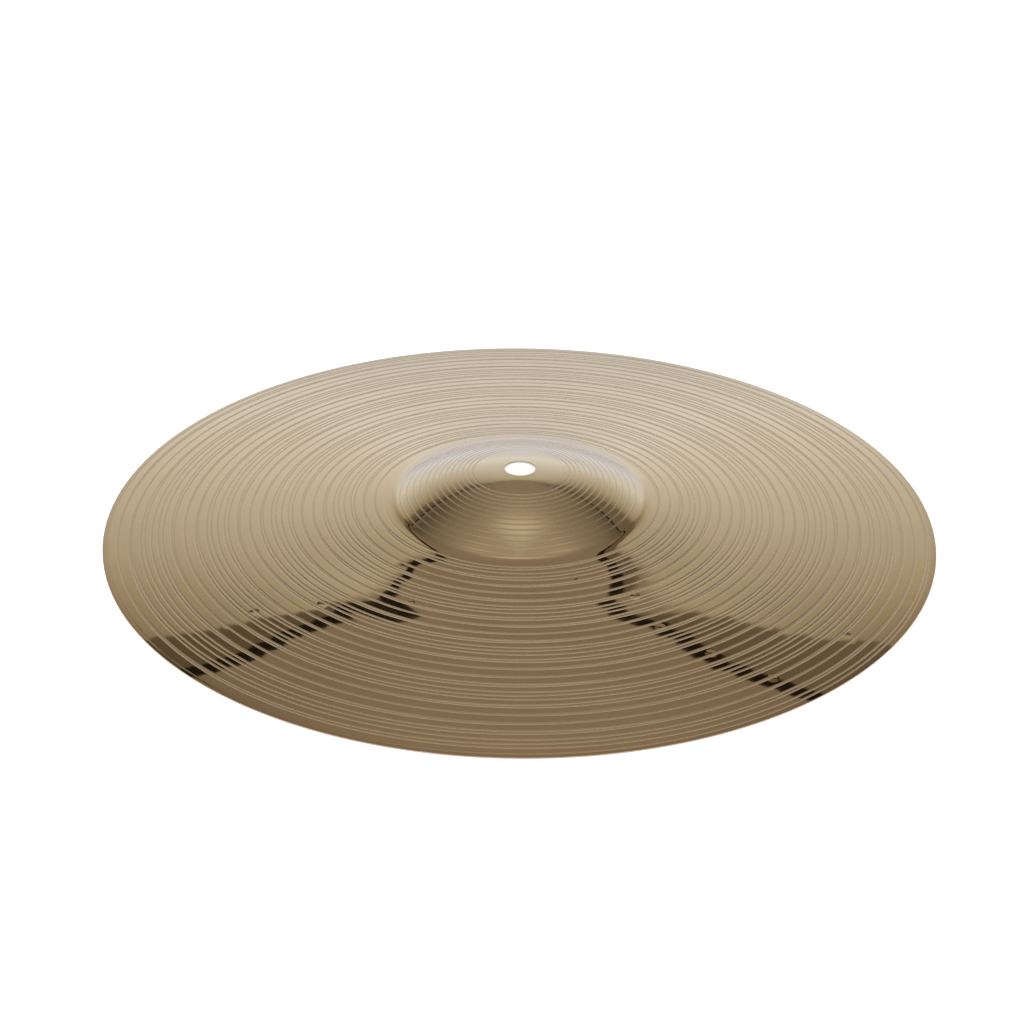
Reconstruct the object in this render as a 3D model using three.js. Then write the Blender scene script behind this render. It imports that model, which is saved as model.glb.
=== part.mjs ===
// A 14 inch thin crash cymbal: one dished disc of cast bronze, pressed and turned from a single blank.
// Millimetres, +Z up. The origin is the centre of the circle that the rim rests on, under the centre hole.
import * as THREE from 'three';

// Driving dimensions
const DIAMETER = 355.6;
const HOLE_DIAMETER = 13;
const SEAT_WIDTH = 2.5; // flat ring round the hole, where the stand's felts bear, above and below
const CROWN_RADIUS = 109; // spherical crown of the cup
const CROWN_END = 52.5; // radius where the crown runs out into the fillet at the foot of the cup
const FILLET_WIDTH = 7.5;
const FILLET_SHARPNESS = 5; // how much of its turn the fillet makes near the foot of the cup
const BOW_SLOPE_AT_CUP = THREE.MathUtils.degToRad(7);
const BOW_SLOPE_AT_MIDDLE = THREE.MathUtils.degToRad(5.9);
const BOW_SLOPE_AT_RIM = THREE.MathUtils.degToRad(7);
const BOW_MIDDLE = 100; // radius where the bow has its middle slope
const CUP_THICKNESS = 0.9;
const RIM_THICKNESS = 0.7;
const RIM_LAND = 0.8; // flat under the edge, which the cymbal rests on

// How finely the round shape is cut into facets
const SEGMENTS = 72;
const CROWN_STEPS = 7;
const FILLET_STEPS = 5;
const BOW_STEPS = 9;

const rimRadius = DIAMETER / 2;
const holeRadius = HOLE_DIAMETER / 2;
const seatRadius = holeRadius + SEAT_WIDTH;
const fallAtFoot = Math.tan(Math.asin(CROWN_END / CROWN_RADIUS));
const fallAtCup = Math.tan(BOW_SLOPE_AT_CUP);
const bowStart = CROWN_END + FILLET_WIDTH;

// The bow's fall is a quadratic in its share of the way from the cup to the rim, through the three slopes.
const bowWidth = rimRadius - bowStart;
const middleShare = (BOW_MIDDLE - bowStart) / bowWidth;
const slopeRise = Math.tan(BOW_SLOPE_AT_RIM) - fallAtCup;
const slopeDip = Math.tan(BOW_SLOPE_AT_MIDDLE) - fallAtCup;
const slopeCurve = (slopeDip - middleShare * slopeRise) / (middleShare * (middleShare - 1));
const slopeStart = slopeRise - slopeCurve;

// Steepness of the upper face at a radius, as fall over run.
function fallAt(r) {
  if (r <= seatRadius) return 0;
  if (r <= CROWN_END) return Math.tan(Math.asin(r / CROWN_RADIUS));
  if (r <= bowStart) {
    const left = (bowStart - r) / FILLET_WIDTH;
    return fallAtCup + (fallAtFoot - fallAtCup) * left ** FILLET_SHARPNESS;
  }
  const share = (r - bowStart) / bowWidth;
  return fallAtCup + slopeStart * share + slopeCurve * share ** 2;
}

// Height of the upper face above its own edge, worked inwards from the rim.
function riseOfBow(r) {
  const share = (r - bowStart) / bowWidth;
  const fallen = fallAtCup * share + (slopeStart / 2) * share ** 2 + (slopeCurve / 3) * share ** 3;
  const whole = fallAtCup + slopeStart / 2 + slopeCurve / 3;
  return bowWidth * (whole - fallen);
}

function riseOfFillet(r) {
  const left = (bowStart - r) / FILLET_WIDTH;
  const turned = ((fallAtFoot - fallAtCup) * left ** (FILLET_SHARPNESS + 1)) / (FILLET_SHARPNESS + 1);
  return riseOfBow(bowStart) + FILLET_WIDTH * (fallAtCup * left + turned);
}

function riseOfCrown(r) {
  const drop = Math.sqrt(CROWN_RADIUS ** 2 - r ** 2) - Math.sqrt(CROWN_RADIUS ** 2 - CROWN_END ** 2);
  return riseOfFillet(CROWN_END) + drop;
}

const edgeHeight = RIM_THICKNESS / Math.cos(BOW_SLOPE_AT_RIM) - RIM_LAND * Math.tan(BOW_SLOPE_AT_RIM);

function upperHeight(r) {
  if (r >= bowStart) return edgeHeight + riseOfBow(r);
  if (r >= CROWN_END) return edgeHeight + riseOfFillet(r);
  return edgeHeight + riseOfCrown(Math.max(r, seatRadius));
}

function lowerHeight(r) {
  const share = Math.max(r - CROWN_END, 0) / (rimRadius - CROWN_END);
  const thickness = THREE.MathUtils.lerp(CUP_THICKNESS, RIM_THICKNESS, share);
  return Math.max(upperHeight(r) - thickness * Math.sqrt(1 + fallAt(r) ** 2), 0);
}

// Radii from one to another, evenly spaced, or closer together at the start with a crowding above 1.
function stations(from, to, steps, crowding = 1) {
  return Array.from({ length: steps }, (_, i) => from + (to - from) * ((i + 1) / steps) ** crowding);
}

const radii = [
  holeRadius,
  seatRadius,
  ...stations(seatRadius, CROWN_END, CROWN_STEPS),
  ...stations(CROWN_END, bowStart, FILLET_STEPS, 2),
  ...stations(bowStart, rimRadius - RIM_LAND, BOW_STEPS),
  rimRadius,
];

// One closed section, out along the lower face and back along the upper face, turned about the axis.
function discGeometry() {
  const lower = radii.map((r) => new THREE.Vector2(r, lowerHeight(r)));
  lower[lower.length - 1].y = 0;
  const upper = radii.map((r) => new THREE.Vector2(r, upperHeight(r))).reverse();
  return new THREE.LatheGeometry([...lower, ...upper, lower[0].clone()], SEGMENTS);
}

const bronze = new THREE.MeshStandardMaterial({ color: 0xb89a62, roughness: 0.14, metalness: 1 });

const disc = new THREE.Mesh(discGeometry(), bronze);
disc.name = 'cymbal';
disc.rotation.x = Math.PI / 2; // a lathe turns about Y, and the cymbal's axis is Z

const cymbal = new THREE.Group();
cymbal.add(disc);

export default cymbal;
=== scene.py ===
"""Looks of the 14 inch crash cymbal: one lathe-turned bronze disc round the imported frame. Metres, +Z up."""
import math
import random

import bpy
from mathutils import Matrix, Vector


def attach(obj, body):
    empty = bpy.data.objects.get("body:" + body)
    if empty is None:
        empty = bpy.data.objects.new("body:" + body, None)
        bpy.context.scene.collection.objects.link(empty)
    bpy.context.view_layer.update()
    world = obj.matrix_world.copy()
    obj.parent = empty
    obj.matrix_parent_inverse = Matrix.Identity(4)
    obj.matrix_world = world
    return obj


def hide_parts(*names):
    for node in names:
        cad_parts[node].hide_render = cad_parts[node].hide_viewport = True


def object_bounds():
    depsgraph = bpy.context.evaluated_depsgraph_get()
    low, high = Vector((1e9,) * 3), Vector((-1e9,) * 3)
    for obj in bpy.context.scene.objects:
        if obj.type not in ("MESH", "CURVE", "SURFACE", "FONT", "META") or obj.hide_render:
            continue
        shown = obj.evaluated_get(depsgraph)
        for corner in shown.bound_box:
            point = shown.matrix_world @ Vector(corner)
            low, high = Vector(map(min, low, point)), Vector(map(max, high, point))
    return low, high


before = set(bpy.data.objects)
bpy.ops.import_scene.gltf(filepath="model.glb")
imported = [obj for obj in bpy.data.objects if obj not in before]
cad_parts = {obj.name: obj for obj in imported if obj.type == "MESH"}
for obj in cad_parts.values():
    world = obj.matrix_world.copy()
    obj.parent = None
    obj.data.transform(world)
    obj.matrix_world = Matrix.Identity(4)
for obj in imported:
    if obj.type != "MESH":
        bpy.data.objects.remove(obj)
cad_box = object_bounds()

MM = 0.001
DEG = math.pi / 180

# ---------------------------------------------------------------- sizes of the disc

# The disc's section, as the CAD part has it
RIM_RADIUS = cad_box[1][0]
HOLE_RADIUS = 6.5 * MM
CROWN_RADIUS = 109 * MM
CROWN_END = 52.5 * MM
FILLET_WIDTH = 7.5 * MM
FILLET_SHARPNESS = 5
BOW_MIDDLE = 100 * MM
SLOPE_AT_CUP = 7 * DEG
SLOPE_AT_MIDDLE = 5.9 * DEG
SLOPE_AT_RIM = 7 * DEG
CUP_THICKNESS = 0.9 * MM
RIM_THICKNESS = 0.7 * MM
RIM_LAND = 0.8 * MM

# The edges of the rim and the hole aren't sharp
EDGE_BREAK = 0.12 * MM

BOW_START = CROWN_END + FILLET_WIDTH
BOW_WIDTH = RIM_RADIUS - BOW_START
EDGE_HEIGHT = RIM_THICKNESS / math.cos(SLOPE_AT_RIM) - RIM_LAND * math.tan(SLOPE_AT_RIM)
FALL_AT_FOOT = math.tan(math.asin(CROWN_END / CROWN_RADIUS))
FALL_AT_CUP = math.tan(SLOPE_AT_CUP)

# The bow's fall is a quadratic in its share of the way from the cup to the rim, through the three slopes
MIDDLE_SHARE = (BOW_MIDDLE - BOW_START) / BOW_WIDTH
FALL_RISE = math.tan(SLOPE_AT_RIM) - FALL_AT_CUP
FALL_DIP = math.tan(SLOPE_AT_MIDDLE) - FALL_AT_CUP
FALL_CURVE = (FALL_DIP - MIDDLE_SHARE * FALL_RISE) / (MIDDLE_SHARE * (MIDDLE_SHARE - 1))
FALL_START = FALL_RISE - FALL_CURVE

# Turned grooves. The bow was turned twice, outward and then inward, so two spirals cross all over it.
# A spiral's feed is how far the tool moves in one turn at the spiral's middle radius. Its growth makes the
# feed longer outside that radius and shorter inside it.
GROOVE_DEPTH = 0.03 * MM
GROOVE_FLOOR = 0.8  # the floor's share of a groove's half width, where the flank takes the rest
GROOVE_RUN_OUT = 1 * MM
BOW_GROOVES_START = CROWN_END + 4.5 * MM
BOW_GROOVES_END = RIM_RADIUS - 1.2 * MM
BOW_GROOVE_HALF_WIDTH = 0.49 * MM
BOW_MIDDLE_TURN = 128 * MM
BOW_FEED_GROWTH = 0.00042 / MM
OUTWARD_FEED = 4.59 * MM
OUTWARD_START = 0.47
INWARD_FEED = 5.54 * MM
INWARD_START = 0.46
CUP_GROOVES_START = 18.6 * MM
CUP_GROOVE_HALF_WIDTH = 0.42 * MM
CUP_GROOVE_STRENGTH = 0.8
CUP_MIDDLE_TURN = 35 * MM
CUP_FEED_GROWTH = 0.005 / MM
CUP_FEED = 2.6 * MM
UNDER_GROOVES_START = 14 * MM
UNDER_GROOVES_END = 170 * MM
UNDER_GROOVE_HALF_WIDTH = 0.9 * MM
UNDER_FEED = 7.2 * MM

# Slow waves left in the sheet by hammering, and where they fade away towards the hole and the rim
WAVE_SEED = 5
WAVE_COUNT = 10
WAVE_HEIGHT = 0.006 * MM
LOWEST_WAVE = 0.4
WAVE_LOBES = (3, 12)
WAVE_LENGTHS = (40 * MM, 95 * MM)
WAVES_FADE_IN = (14 * MM, 60 * MM)
WAVES_FADE_OUT = (RIM_RADIUS, RIM_RADIUS - 20 * MM)
# Faint rings left by the turning: wavelength, height and phase
RIPPLES = ((9.1 * MM, 0.0016 * MM, 0.4), (13.7 * MM, 0.0022 * MM, 2.1))
# Broad swells: angle from the front in degrees, radius and width in mm, spread in degrees, height in mm
SWELLS = (
    (-38, 117, 17, 24, 0.31),
    (-28, 91.5, 8, 9, -0.095),
    (-43, 99, 9, 6, 0.22),
    (-34, 80, 9, 12, 0.06),
    (-32, 66, 5, 14, 0.09),
    (32, 84, 12, 18, -0.13),
    (32, 104, 17, 18, 0.12),
)
# Small hammer marks that stand out: angle from the front in degrees, radius in mm
HAMMER_MARKS = (
    (-52, 135),
    (-44.5, 113),
    (-28.7, 91.5),
    (20.3, 69),
    (31.7, 89),
    (30.3, 111),
    (34.2, 134.5),
    (38.3, 159),
    (54.7, 160),
)

# How finely the visible disc is cut. Stations are the radii where a section has a point.
SEGMENTS = 160
UPPER_STEP = 3 * MM
LOWER_STEP = 6 * MM
CLOSEST = 0.02 * MM
EDGE_GUARD = 0.06 * MM  # a station this near each end of a face keeps a broken edge's shading off the face
LAND_MARGIN = 1.5 * MM  # the turned face underneath ends this far before the land that the rim rests on
GROOVE_STATIONS = (-1.2, -1, -GROOVE_FLOOR, 0, GROOVE_FLOOR, 1, 1.2)  # shares of a groove's half width
FILLET_STATIONS = (-0.04, 0, 0.02, 0.045, 0.075, 0.11, 0.16, 0.22, 0.3, 0.42, 0.6, 1)  # shares of its width

# ---------------------------------------------------------------- looks of the bronze

LIGHT_BRONZE = (0.86, 0.72, 0.505, 1)
DEEP_BRONZE = (0.80, 0.665, 0.465, 1)
CUP_BRONZE = (0.86, 0.745, 0.545, 1)
# Painted shade: a darker bronze laid into the turned grooves in place of the shade that falls in them
PAINTED_GROOVE_SHADE = (0.62, 0.49, 0.33, 1)
DULL_BRONZE = (0.52, 0.41, 0.30, 1)
# Painted reflection: the hole's cut wall is tinted pale grey for the pale light it mirrors, not bronze
HOLE_EDGE_PAINTED_REFLECTION = (0.80, 0.77, 0.75, 1)
RIM_EDGE_COLOUR = (0.86, 0.68, 0.58, 1)
CLOUD_SCALE = 22.0
CLOUD_DETAIL = 4.0
LINES_SCALE = 1.3 / MM

# Changes along the radius: where each starts, and where it is complete
TO_CUP_COLOUR = (54 * MM, 50 * MM)
TO_DULL_RIM = (RIM_RADIUS - 3.5 * MM, RIM_RADIUS - 1 * MM)
TO_RIM_CUT = (RIM_RADIUS - 0.2 * MM, RIM_RADIUS - 0.05 * MM)
TO_HOLE_CUT = (HOLE_RADIUS + 0.1 * MM, HOLE_RADIUS + 0.02 * MM)
TO_RIM_EDGE_COLOUR = (20 * MM, 30 * MM)
TO_WORN_FROM_HOLE = (9 * MM, 15 * MM)
TO_WORN_FROM_FOOT = (49 * MM, 33 * MM)
DULL_RIM_SHARE = 0.3
GROOVE_SHADE = (65 * MM, 165 * MM, 0.10, 0.34)  # and the share of painted groove shade at those two radii

POLISH = (0.3, 0.7, 0.015, 0.03)  # two levels of the turning lines' noise, and the roughness at each
GROOVE_ROUGHNESS = 0.33
WORN_ROUGHNESS = 0.085
CUT_ROUGHNESS = 0.6
CUT_METAL_LOSS = 0.6
ANISOTROPY = 0.65
ANISOTROPY_TURN = 0.25

MARK_DEPTH = 0.04 * MM
MARK_RADIUS = 2.8 * MM
MARK_FLOOR = 0.3 * MM
FAINT_MARK_SCALE = 42.0
FAINT_MARK_REACH = 0.16
FAINT_MARK_HEIGHT = -0.35
CELLS_WITHOUT_MARK = 0.7

# ---------------------------------------------------------------- studio and camera

# The walls and the ceiling as the metal sees them, as light by elevation in degrees: first straight on to
# a wall, then into a corner. A direction's turn is its angle in degrees from the nearest wall's middle.
FACING = (
    (-3, (0.62, 0.635, 0.72)),
    (3, (0.80, 0.86, 1.04)),
    (9, (0.70, 0.73, 0.86)),
    (12, (0.68, 0.69, 0.76)),
    (17, (0.80, 0.81, 0.85)),
    (23, (0.70, 0.69, 0.68)),
    (31, (0.58, 0.545, 0.49)),
    (35, (0.51, 0.475, 0.385)),
    (38.2, (0.46, 0.408, 0.298)),
    (39.2, (0.265, 0.215, 0.158)),
    (42, (0.245, 0.193, 0.142)),
    (57, (0.295, 0.228, 0.168)),
    (62, (0.36, 0.285, 0.21)),
    (69, (0.56, 0.49, 0.375)),
    (73, (0.55, 0.485, 0.378)),
    (80, (0.43, 0.365, 0.28)),
    (90, (0.38, 0.32, 0.24)),
)
CORNER = (
    (-3, (0.60, 0.61, 0.67)),
    (3, (0.66, 0.67, 0.73)),
    (9, (0.72, 0.71, 0.71)),
    (15, (0.69, 0.68, 0.65)),
    (23, (0.525, 0.49, 0.415)),
    (29, (0.415, 0.365, 0.275)),
    (33, (0.295, 0.232, 0.155)),
    (41, (0.096, 0.077, 0.054)),
    (44, (0.115, 0.092, 0.066)),
    (51, (0.19, 0.153, 0.11)),
    (63, (0.278, 0.223, 0.162)),
    (71, (0.335, 0.27, 0.198)),
    (80, (0.36, 0.30, 0.225)),
)
CORNER_TURN = 5.0
CORNER_REACH = (36, 42, 24, 38)  # two elevations, and the turn where the corner's light is complete at each

# Under the ceiling's edge there is a dark gap, and a cloth hangs below it, except straight on to a wall
GAP_COLOUR = (0.010, 0.008, 0.006, 1)
CLOTH_LEFT = (0.110, 0.086, 0.058, 1)
CLOTH_RIGHT = (0.145, 0.118, 0.082, 1)
TO_CLOTH_RIGHT = (0.05, 0.25)
CEILING_LEAN = 4.5  # how many degrees higher the ceiling's edge is on the right than straight on
CEILING_EDGE = 40.7
GAP_BOTTOM = 39.8
GAP_BLUR = 0.1
CLOTH_OPENS = (4.5, 6)
# The hem's elevation is HEM plus HEM_LIFT less HEM_DROP. Each has two turns, and its elevation at those two.
# HEM_BLUR is how softly the hem ends at two turns.
HEM = (17.7, 6.5, 35.8, 40.35)
HEM_LIFT = (18, 22, 0, 2.2)
HEM_DROP = (20, 36, 0, 6.5)
HEM_BLUR = (18, 36, 0.3, 4.5)

FLOOR_HALF_WIDTH = 6
FLOOR_COLOUR = (0.92, 0.92, 0.92, 1)
FLOOR_ROUGHNESS = 0.8
FLOOR_GLOW = 0.75
WHITE = (1, 1, 1, 1)

KEY_DIAMETER = 1.2
KEY_POWER = 12
KEY_PLACE = (-0.5, 0.4, 1.6)
KEY_TILT = (-0.244, -0.303, 0)

CAMERA_ELEVATION = 29.113 * DEG
CAMERA_DISTANCE = 6.3 * RIM_RADIUS
CAMERA_ROLL = 0.457 * DEG
SENSOR = 36
LENS = 91.49
SHIFT_X = -0.0074
SHIFT_Y = 0.0123


# ---------------------------------------------------------------- section

def lerp(a, b, share):
    return a + (b - a) * share


def smoothstep(low, high, x):
    t = min(max((x - low) / (high - low), 0), 1)
    return t * t * (3 - 2 * t)


def fall_at(r):
    """Steepness of the upper face, as fall over run."""
    if r <= CROWN_END:
        return math.tan(math.asin(r / CROWN_RADIUS))
    if r <= BOW_START:
        left = 1 - (r - CROWN_END) / FILLET_WIDTH
        return FALL_AT_CUP + (FALL_AT_FOOT - FALL_AT_CUP) * left ** FILLET_SHARPNESS
    share = (r - BOW_START) / BOW_WIDTH
    return FALL_AT_CUP + FALL_START * share + FALL_CURVE * share ** 2


def rise_of_bow(r):
    """Height of the upper face above its own edge, worked inwards from the rim."""
    share = (r - BOW_START) / BOW_WIDTH
    fallen = FALL_AT_CUP * share + FALL_START / 2 * share ** 2 + FALL_CURVE / 3 * share ** 3
    return BOW_WIDTH * (FALL_AT_CUP + FALL_START / 2 + FALL_CURVE / 3 - fallen)


def rise_of_fillet(r):
    left = 1 - (r - CROWN_END) / FILLET_WIDTH
    turned = (FALL_AT_FOOT - FALL_AT_CUP) * left ** (FILLET_SHARPNESS + 1) / (FILLET_SHARPNESS + 1)
    return rise_of_bow(BOW_START) + FILLET_WIDTH * (FALL_AT_CUP * left + turned)


def rise_of_crown(r):
    drop = math.sqrt(CROWN_RADIUS ** 2 - r ** 2) - math.sqrt(CROWN_RADIUS ** 2 - CROWN_END ** 2)
    return rise_of_fillet(CROWN_END) + drop


def upper_height(r):
    if r >= BOW_START:
        return EDGE_HEIGHT + rise_of_bow(r)
    if r >= CROWN_END:
        return EDGE_HEIGHT + rise_of_fillet(r)
    return EDGE_HEIGHT + rise_of_crown(r)


def lower_height(r):
    share = max(r - CROWN_END, 0) / (RIM_RADIUS - CROWN_END)
    thickness = lerp(CUP_THICKNESS, RIM_THICKNESS, share)
    return max(upper_height(r) - thickness * math.sqrt(1 + fall_at(r) ** 2), 0)


# ---------------------------------------------------------------- turned grooves and hammering

class SpiralGroove:
    """A shallow groove that a turning tool draws while it feeds across the disc. Its hand is 1 or -1."""

    def __init__(self, start, end, middle, growth, feed, half_width, first_turn=0, hand=1, strength=1):
        self.start = start
        self.end = end
        self.middle = middle
        self.growth = growth
        self.feed = feed
        self.half_width = half_width
        self.first_turn = first_turn
        self.hand = hand
        self.strength = strength

    def turn_at(self, angle):
        """How many turns the groove has made at an angle, counted from the front, a quarter turn before X."""
        return self.first_turn + self.hand * (angle / math.tau + 1 / 4)

    def centres(self, angle):
        """Where the groove crosses the radius at this angle."""
        reach = math.ceil(RIM_RADIUS / self.feed)
        fed = [(turn + self.turn_at(angle) % 1) * self.feed for turn in range(-reach, reach)]
        radii = [self.middle + f + self.growth * f * f for f in fed]
        return [r for r in radii if self.start < r < self.end]

    def share(self, r, centres):
        """How deep in the groove a point is, from 0 on the land to the groove's strength on its floor."""
        off = min((abs(r - c) for c in centres), default=self.feed)
        run_in = smoothstep(self.start, self.start + self.feed / 2, r)
        run_out = smoothstep(self.end, self.end - GROOVE_RUN_OUT, r)
        return self.strength * (run_in * run_out) * smoothstep(1, GROOVE_FLOOR, off / self.half_width)


def bow_groove(feed, first_turn, hand):
    return SpiralGroove(BOW_GROOVES_START, BOW_GROOVES_END, BOW_MIDDLE_TURN, BOW_FEED_GROWTH, feed,
                        BOW_GROOVE_HALF_WIDTH, first_turn, hand)


def cup_groove():
    return SpiralGroove(CUP_GROOVES_START, CROWN_END, CUP_MIDDLE_TURN, CUP_FEED_GROWTH, CUP_FEED,
                        CUP_GROOVE_HALF_WIDTH, strength=CUP_GROOVE_STRENGTH)


def under_groove():
    return SpiralGroove(UNDER_GROOVES_START, UNDER_GROOVES_END, BOW_MIDDLE_TURN, 0, UNDER_FEED,
                        UNDER_GROOVE_HALF_WIDTH)


class Hammering:
    """The shape that hammering and turning leave in the sheet: small random waves, rings and broad swells."""

    def __init__(self, rng):
        self.waves = [
            (rng.uniform(LOWEST_WAVE, 1) * WAVE_HEIGHT, rng.randint(*WAVE_LOBES), rng.uniform(*WAVE_LENGTHS),
             rng.uniform(0, math.tau), rng.uniform(0, math.tau))
            for _ in range(WAVE_COUNT)
        ]

    def height(self, r, angle):
        total = 0
        for height, lobes, length, phase, turn in self.waves:
            total += height * math.cos(lobes * angle + phase) * math.cos(math.tau * r / length + turn)
        for length, height, turn in RIPPLES:
            total += height * math.cos(math.tau * r / length + turn)
        for swell_angle, radius, width, spread, height in SWELLS:
            off = math.remainder(angle + math.pi / 2 - swell_angle * DEG, math.tau) / (spread * DEG)
            out = (r - radius * MM) / (width * MM)
            total += height * MM * math.exp(-(off * off + out * out) / 2)
        return total * smoothstep(*WAVES_FADE_IN, r) * smoothstep(*WAVES_FADE_OUT, r)


# ---------------------------------------------------------------- mesh

def turned_face(grooves, start, end, step, angle):
    """Stations out along a face at one angle: (radius, groove share)."""
    crossings = [(groove, groove.centres(angle)) for groove in grooves]
    marks = [start + EDGE_GUARD, end - EDGE_GUARD]
    marks += [CROWN_END + FILLET_WIDTH * share for share in FILLET_STATIONS]
    for groove, centres in crossings:
        marks += [c + groove.half_width * share for c in centres for share in GROOVE_STATIONS]
    radii = [start]
    for r in sorted(r for r in marks if start < r < end) + [end]:
        gap = r - radii[-1]
        if gap < CLOSEST:
            continue
        pieces = math.ceil(gap / step)
        radii += [radii[-1] + gap * (i + 1) / pieces for i in range(pieces)]
    radii[-1] = end
    return [(r, max(groove.share(r, centres) for groove, centres in crossings)) for r in radii]


def section_at(angle, above, below, hammering):
    """The closed section at one angle, out along the underside and back over the top.

    Each point has its way along the section, its place and its groove share.
    """
    section = []

    def put(along, r, z, share=0):
        place = (r * math.cos(angle), r * math.sin(angle), z + hammering.height(r, angle))
        section.append((along, place, share))

    hole_break = HOLE_RADIUS + EDGE_BREAK
    rim_break = RIM_RADIUS - EDGE_BREAK
    land_start = RIM_RADIUS - RIM_LAND
    for r, share in turned_face(below, hole_break, land_start - LAND_MARGIN, LOWER_STEP, angle):
        put(r, r, lower_height(r) + GROOVE_DEPTH * share, share)
    put(land_start, land_start, 0)
    put(rim_break, rim_break, 0)
    put(RIM_RADIUS, RIM_RADIUS, EDGE_BREAK)
    put(RIM_RADIUS + EDGE_BREAK, RIM_RADIUS, EDGE_HEIGHT - EDGE_BREAK)
    back = 2 * RIM_RADIUS + EDGE_BREAK
    for r, share in reversed(turned_face(above, hole_break, rim_break, UPPER_STEP, angle)):
        put(back - r, r, upper_height(r) - GROOVE_DEPTH * share, share)
    put(back - HOLE_RADIUS, HOLE_RADIUS, upper_height(HOLE_RADIUS) - EDGE_BREAK)
    put(back, HOLE_RADIUS, lower_height(HOLE_RADIUS) + EDGE_BREAK)
    return section


def stitched(here, there):
    """Triangles between two closed sections, joining the points that lie nearest along them."""
    triangles = []
    i = 0
    j = 0
    end_i = len(here)
    end_j = len(there)
    while i < end_i or j < end_j:
        next_here = here[i + 1][0] if i + 1 < end_i else math.inf
        next_there = there[j + 1][0] if j + 1 < end_j else math.inf
        side = (here[i % end_i][1], there[j % end_j][1])
        if j == end_j or (i < end_i and next_here <= next_there):
            i += 1
            triangles.append((*side, here[i % end_i][1]))
        else:
            j += 1
            triangles.append((*side, there[j % end_j][1]))
    return triangles


def turned_disc(name):
    outward = bow_groove(OUTWARD_FEED, OUTWARD_START, 1)
    inward = bow_groove(INWARD_FEED, INWARD_START, -1)
    above = [outward, inward, cup_groove()]
    below = [under_groove()]
    hammering = Hammering(random.Random(WAVE_SEED))
    points = []
    shares = []
    sections = []
    for k in range(SEGMENTS):
        section = []
        for along, point, share in section_at(math.tau * k / SEGMENTS, above, below, hammering):
            section.append((along, len(points)))
            points.append(point)
            shares.append(share)
        sections.append(section)
    triangles = []
    for here, there in zip(sections, sections[1:] + sections[:1]):
        triangles += stitched(here, there)
    mesh = bpy.data.meshes.new(name)
    mesh.from_pydata(points, [], triangles)
    mesh.shade_smooth()
    mesh.attributes.new("groove", "FLOAT", "POINT").data.foreach_set("value", shares)
    mesh.update()
    disc = bpy.data.objects.new(name, mesh)
    bpy.context.collection.objects.link(disc)
    return disc


# ---------------------------------------------------------------- shader nodes

class Nodes:
    """Adds nodes to a tree. An input is a number, a colour or another node's output."""

    def __init__(self, tree):
        tree.nodes.clear()
        self.tree = tree

    def add(self, kind, inputs, **settings):
        node = self.tree.nodes.new(kind)
        for key, value in settings.items():
            setattr(node, key, value)
        for key, value in inputs.items():
            if isinstance(value, bpy.types.NodeSocket):
                self.tree.links.new(value, node.inputs[key])
            else:
                node.inputs[key].default_value = value
        return node

    def calc(self, operation, a, b=0.0):
        return self.add("ShaderNodeMath", {0: a, 1: b}, operation=operation).outputs[0]

    def remap(self, value, low, high, to_low=0.0, to_high=1.0, curve="SMOOTHSTEP"):
        inputs = {"Value": value, "From Min": low, "From Max": high, "To Min": to_low, "To Max": to_high}
        return self.add("ShaderNodeMapRange", inputs, interpolation_type=curve).outputs["Result"]

    def mix(self, share, a, b):
        """Mixes two colours, which are the node's sockets 6 and 7."""
        return self.add("ShaderNodeMix", {"Factor": share, 6: a, 7: b}, data_type="RGBA").outputs[2]


# ---------------------------------------------------------------- bronze

def cut_edges(nodes, radius):
    """1 on the broken edges of the rim and the hole, and 0 elsewhere."""
    return nodes.calc("MAXIMUM", nodes.remap(radius, *TO_RIM_CUT), nodes.remap(radius, *TO_HOLE_CUT))


def bronze_colour(nodes, place, radius, groove, cut):
    clouds = nodes.add("ShaderNodeTexNoise", {"Vector": place, "Scale": CLOUD_SCALE, "Detail": CLOUD_DETAIL})
    colour = nodes.mix(clouds.outputs["Fac"], LIGHT_BRONZE, DEEP_BRONZE)
    colour = nodes.mix(nodes.remap(radius, *TO_CUP_COLOUR), colour, CUP_BRONZE)
    dull = nodes.calc("MULTIPLY", nodes.remap(radius, *TO_DULL_RIM), DULL_RIM_SHARE)
    colour = nodes.mix(dull, colour, DULL_BRONZE)
    # Painted shade in the grooves, stronger towards the rim
    groove_shade_share = nodes.calc("MULTIPLY", groove, nodes.remap(radius, *GROOVE_SHADE))
    colour = nodes.mix(groove_shade_share, colour, PAINTED_GROOVE_SHADE)
    # The rim's cut edge keeps its own copper colour; the hole's wall gets a pale grey painted reflection
    cut_colour_and_reflection = nodes.mix(nodes.remap(radius, *TO_RIM_EDGE_COLOUR), HOLE_EDGE_PAINTED_REFLECTION, RIM_EDGE_COLOUR)
    return nodes.mix(cut, colour, cut_colour_and_reflection)


def bronze_roughness(nodes, radius, groove, cut):
    """Polished lands in fine rings, rough grooves, a worn crown and rough cut edges."""
    along = nodes.calc("MULTIPLY", radius, LINES_SCALE)
    lines = nodes.add("ShaderNodeTexNoise", {"W": along, "Scale": 1.0, "Detail": 0.0}, noise_dimensions="1D")
    polish = nodes.remap(lines.outputs["Fac"], *POLISH)
    turned = nodes.calc("ADD", polish, nodes.calc("MULTIPLY", groove, GROOVE_ROUGHNESS))
    near_foot = nodes.remap(radius, *TO_WORN_FROM_FOOT)
    crown = nodes.calc("MULTIPLY", near_foot, nodes.remap(radius, *TO_WORN_FROM_HOLE))
    worn = nodes.calc("ADD", turned, nodes.calc("MULTIPLY", crown, WORN_ROUGHNESS))
    return nodes.calc("MAXIMUM", worn, nodes.calc("MULTIPLY", cut, CUT_ROUGHNESS))


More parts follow.
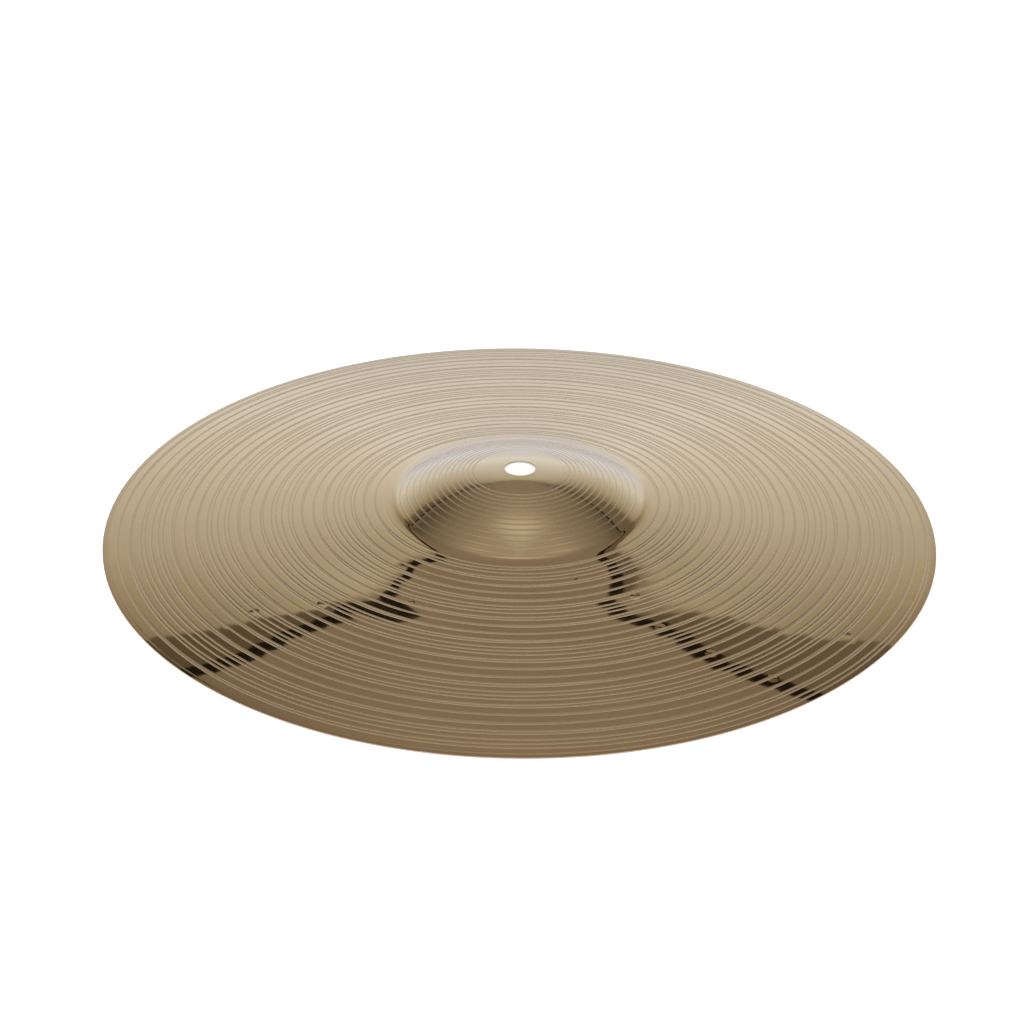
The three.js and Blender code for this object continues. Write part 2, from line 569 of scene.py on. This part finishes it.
def hammer_marks(nodes, place, x, y):
    """Small round dents: faint ones scattered all over, and the clear ones at their places."""
    inputs = {"Vector": place, "Scale": FAINT_MARK_SCALE}
    cells = nodes.add("ShaderNodeTexVoronoi", inputs, voronoi_dimensions="3D")
    chance = nodes.add("ShaderNodeSeparateColor", {0: cells.outputs["Color"]}).outputs["Red"]
    faint = nodes.calc("MULTIPLY", nodes.calc("GREATER_THAN", chance, CELLS_WITHOUT_MARK), FAINT_MARK_HEIGHT)
    height = nodes.calc("MULTIPLY", nodes.remap(cells.outputs["Distance"], FAINT_MARK_REACH, 0.0), faint)
    flat_place = nodes.add("ShaderNodeCombineXYZ", {0: x, 1: y}).outputs[0]
    for angle, radius in HAMMER_MARKS:
        centre = (radius * MM * math.sin(angle * DEG), -radius * MM * math.cos(angle * DEG), 0)
        between = nodes.add("ShaderNodeVectorMath", {0: flat_place, 1: centre}, operation="DISTANCE")
        mark = nodes.remap(between.outputs["Value"], MARK_RADIUS, MARK_FLOOR)
        height = nodes.calc("SUBTRACT", height, mark)
    dents = nodes.add("ShaderNodeBump", {"Height": height, "Distance": MARK_DEPTH, "Strength": 1.0})
    return dents.outputs["Normal"]


def bronze_material():
    material = bpy.data.materials.new("turned_bronze")
    material.use_nodes = True
    nodes = Nodes(material.node_tree)
    place = nodes.add("ShaderNodeTexCoord", {}).outputs["Object"]
    parts = nodes.add("ShaderNodeSeparateXYZ", {0: place})
    x = parts.outputs["X"]
    y = parts.outputs["Y"]
    radius = nodes.calc("SQRT", nodes.calc("ADD", nodes.calc("MULTIPLY", x, x), nodes.calc("MULTIPLY", y, y)))
    groove = nodes.add("ShaderNodeAttribute", {}, attribute_name="groove").outputs["Fac"]
    cut = cut_edges(nodes, radius)
    shader = nodes.add("ShaderNodeBsdfPrincipled", {
        "Base Color": bronze_colour(nodes, place, radius, groove, cut),
        "Metallic": nodes.calc("SUBTRACT", 1.0, nodes.calc("MULTIPLY", cut, CUT_METAL_LOSS)),
        "Roughness": bronze_roughness(nodes, radius, groove, cut),
        "Normal": hammer_marks(nodes, place, x, y),
        "Anisotropic": ANISOTROPY,
        "Anisotropic Rotation": ANISOTROPY_TURN,
        "Tangent": nodes.add("ShaderNodeTangent", {}, direction_type="RADIAL", axis="Z").outputs[0],
    })
    nodes.add("ShaderNodeOutputMaterial", {"Surface": shader.outputs["BSDF"]})
    return material


# ---------------------------------------------------------------- studio

def light_by_elevation(nodes, elevation, stops):
    low = stops[0][0]
    high = stops[-1][0]
    ramp = nodes.add("ShaderNodeValToRGB", {0: nodes.remap(elevation, low, high, curve="LINEAR")})
    elements = ramp.color_ramp.elements
    elements.remove(elements[1])
    elements[0].position = 0
    elements[0].color = (*stops[0][1], 1)
    for angle, colour in stops[1:]:
        elements.new((angle - low) / (high - low)).color = (*colour, 1)
    return ramp.outputs["Color"]


def turn_from_wall(nodes, x, y):
    """How far a direction points away from the nearest wall's middle, in degrees."""
    across = nodes.calc("ABSOLUTE", x)
    along = nodes.calc("ABSOLUTE", y)
    turn = nodes.calc("ARCTAN2", nodes.calc("MINIMUM", across, along), nodes.calc("MAXIMUM", across, along))
    return nodes.calc("MULTIPLY", turn, 1 / DEG)


def walls_and_ceiling(nodes, elevation, turn):
    cornered = nodes.remap(turn, CORNER_TURN, nodes.remap(elevation, *CORNER_REACH))
    facing = light_by_elevation(nodes, elevation, FACING)
    return nodes.mix(cornered, facing, light_by_elevation(nodes, elevation, CORNER))


def with_cloth_and_gap(nodes, light, x, elevation, turn):
    """Hangs the cloth in front of the walls' light, with the dark gap above it."""
    level = nodes.calc("SUBTRACT", elevation, nodes.calc("MULTIPLY", x, CEILING_LEAN))
    under_edge = nodes.remap(level, CEILING_EDGE, CEILING_EDGE - GAP_BLUR)
    under_edge = nodes.calc("MULTIPLY", under_edge, nodes.remap(turn, *CLOTH_OPENS))

    above_hem = nodes.calc("SUBTRACT", elevation, nodes.remap(turn, *HEM, curve="LINEAR"))
    above_hem = nodes.calc("SUBTRACT", above_hem, nodes.remap(turn, *HEM_LIFT))
    above_hem = nodes.calc("ADD", above_hem, nodes.remap(turn, *HEM_DROP))
    cloth = nodes.calc("MULTIPLY", nodes.remap(above_hem, 0.0, nodes.remap(turn, *HEM_BLUR)), under_edge)
    light = nodes.mix(cloth, light, nodes.mix(nodes.remap(x, *TO_CLOTH_RIGHT), CLOTH_LEFT, CLOTH_RIGHT))

    gap = nodes.calc("MULTIPLY", nodes.remap(level, GAP_BOTTOM, GAP_BOTTOM + GAP_BLUR), under_edge)
    return nodes.mix(gap, light, GAP_COLOUR)


def studio_world():
    """The metal mirrors the studio, and the camera sees white paper behind the object."""
    world = bpy.data.worlds.new("studio")
    bpy.context.scene.world = world
    world.use_nodes = True
    nodes = Nodes(world.node_tree)
    direction = nodes.add("ShaderNodeTexCoord", {}).outputs["Generated"]
    parts = nodes.add("ShaderNodeSeparateXYZ", {0: direction})
    x = parts.outputs["X"]
    elevation = nodes.calc("MULTIPLY", nodes.calc("ARCSINE", parts.outputs["Z"]), 1 / DEG)
    turn = turn_from_wall(nodes, x, parts.outputs["Y"])
    light = with_cloth_and_gap(nodes, walls_and_ceiling(nodes, elevation, turn), x, elevation, turn)
    studio = nodes.add("ShaderNodeBackground", {"Color": light, "Strength": 1.0})
    paper = nodes.add("ShaderNodeBackground", {"Color": WHITE, "Strength": 1.0})
    to_camera = nodes.add("ShaderNodeLightPath", {}).outputs["Is Camera Ray"]
    shader = nodes.add("ShaderNodeMixShader", {0: to_camera, 1: studio.outputs[0], 2: paper.outputs[0]})
    nodes.add("ShaderNodeOutputWorld", {"Surface": shader.outputs[0]})


def light_table():
    material = bpy.data.materials.new("light_table")
    material.use_nodes = True
    nodes = Nodes(material.node_tree)
    shader = nodes.add("ShaderNodeBsdfPrincipled", {
        "Base Color": FLOOR_COLOUR,
        "Roughness": FLOOR_ROUGHNESS,
        "Emission Color": WHITE,
        "Emission Strength": FLOOR_GLOW,
    })
    nodes.add("ShaderNodeOutputMaterial", {"Surface": shader.outputs["BSDF"]})
    return material


def pale_floor():
    half = FLOOR_HALF_WIDTH
    mesh = bpy.data.meshes.new("floor")
    corners = [(-half, -half, 0), (half, -half, 0), (half, half, 0), (-half, half, 0)]
    mesh.from_pydata(corners, [], [(0, 1, 2, 3)])
    mesh.materials.append(light_table())
    floor = bpy.data.objects.new("floor", mesh)
    bpy.context.collection.objects.link(floor)
    floor.visible_glossy = False


def soft_key():
    """Soft light for the floor only: the metal doesn't mirror it."""
    light = bpy.data.lights.new("soft_key", "AREA")
    light.shape = "DISK"
    light.size = KEY_DIAMETER
    light.energy = KEY_POWER
    key = bpy.data.objects.new("soft_key", light)
    key.location = KEY_PLACE
    key.rotation_euler = KEY_TILT
    key.visible_glossy = False
    bpy.context.collection.objects.link(key)


def front_camera():
    """Looks down at the middle of the rim's upper edge from the front, with a slight roll."""
    camera_data = bpy.data.cameras.new("camera")
    camera_data.sensor_width = SENSOR
    camera_data.lens = LENS
    camera_data.shift_x = SHIFT_X
    camera_data.shift_y = SHIFT_Y
    camera = bpy.data.objects.new("camera", camera_data)
    back = CAMERA_DISTANCE * math.cos(CAMERA_ELEVATION)
    up = EDGE_HEIGHT + CAMERA_DISTANCE * math.sin(CAMERA_ELEVATION)
    tilt = Matrix.Rotation(math.pi / 2 - CAMERA_ELEVATION, 4, "X")
    roll = Matrix.Rotation(CAMERA_ROLL, 4, "Z")
    camera.matrix_world = Matrix.Translation((0, -back, up)) @ tilt @ roll
    bpy.context.collection.objects.link(camera)
    bpy.context.scene.camera = camera


# ---------------------------------------------------------------- build

front_camera()
studio_world()
pale_floor()
soft_key()
bpy.context.scene.view_settings.view_transform = "Standard"

disc = turned_disc("turned_disc")
disc.data.materials.append(bronze_material())
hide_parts("cymbal")
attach(disc, "root")
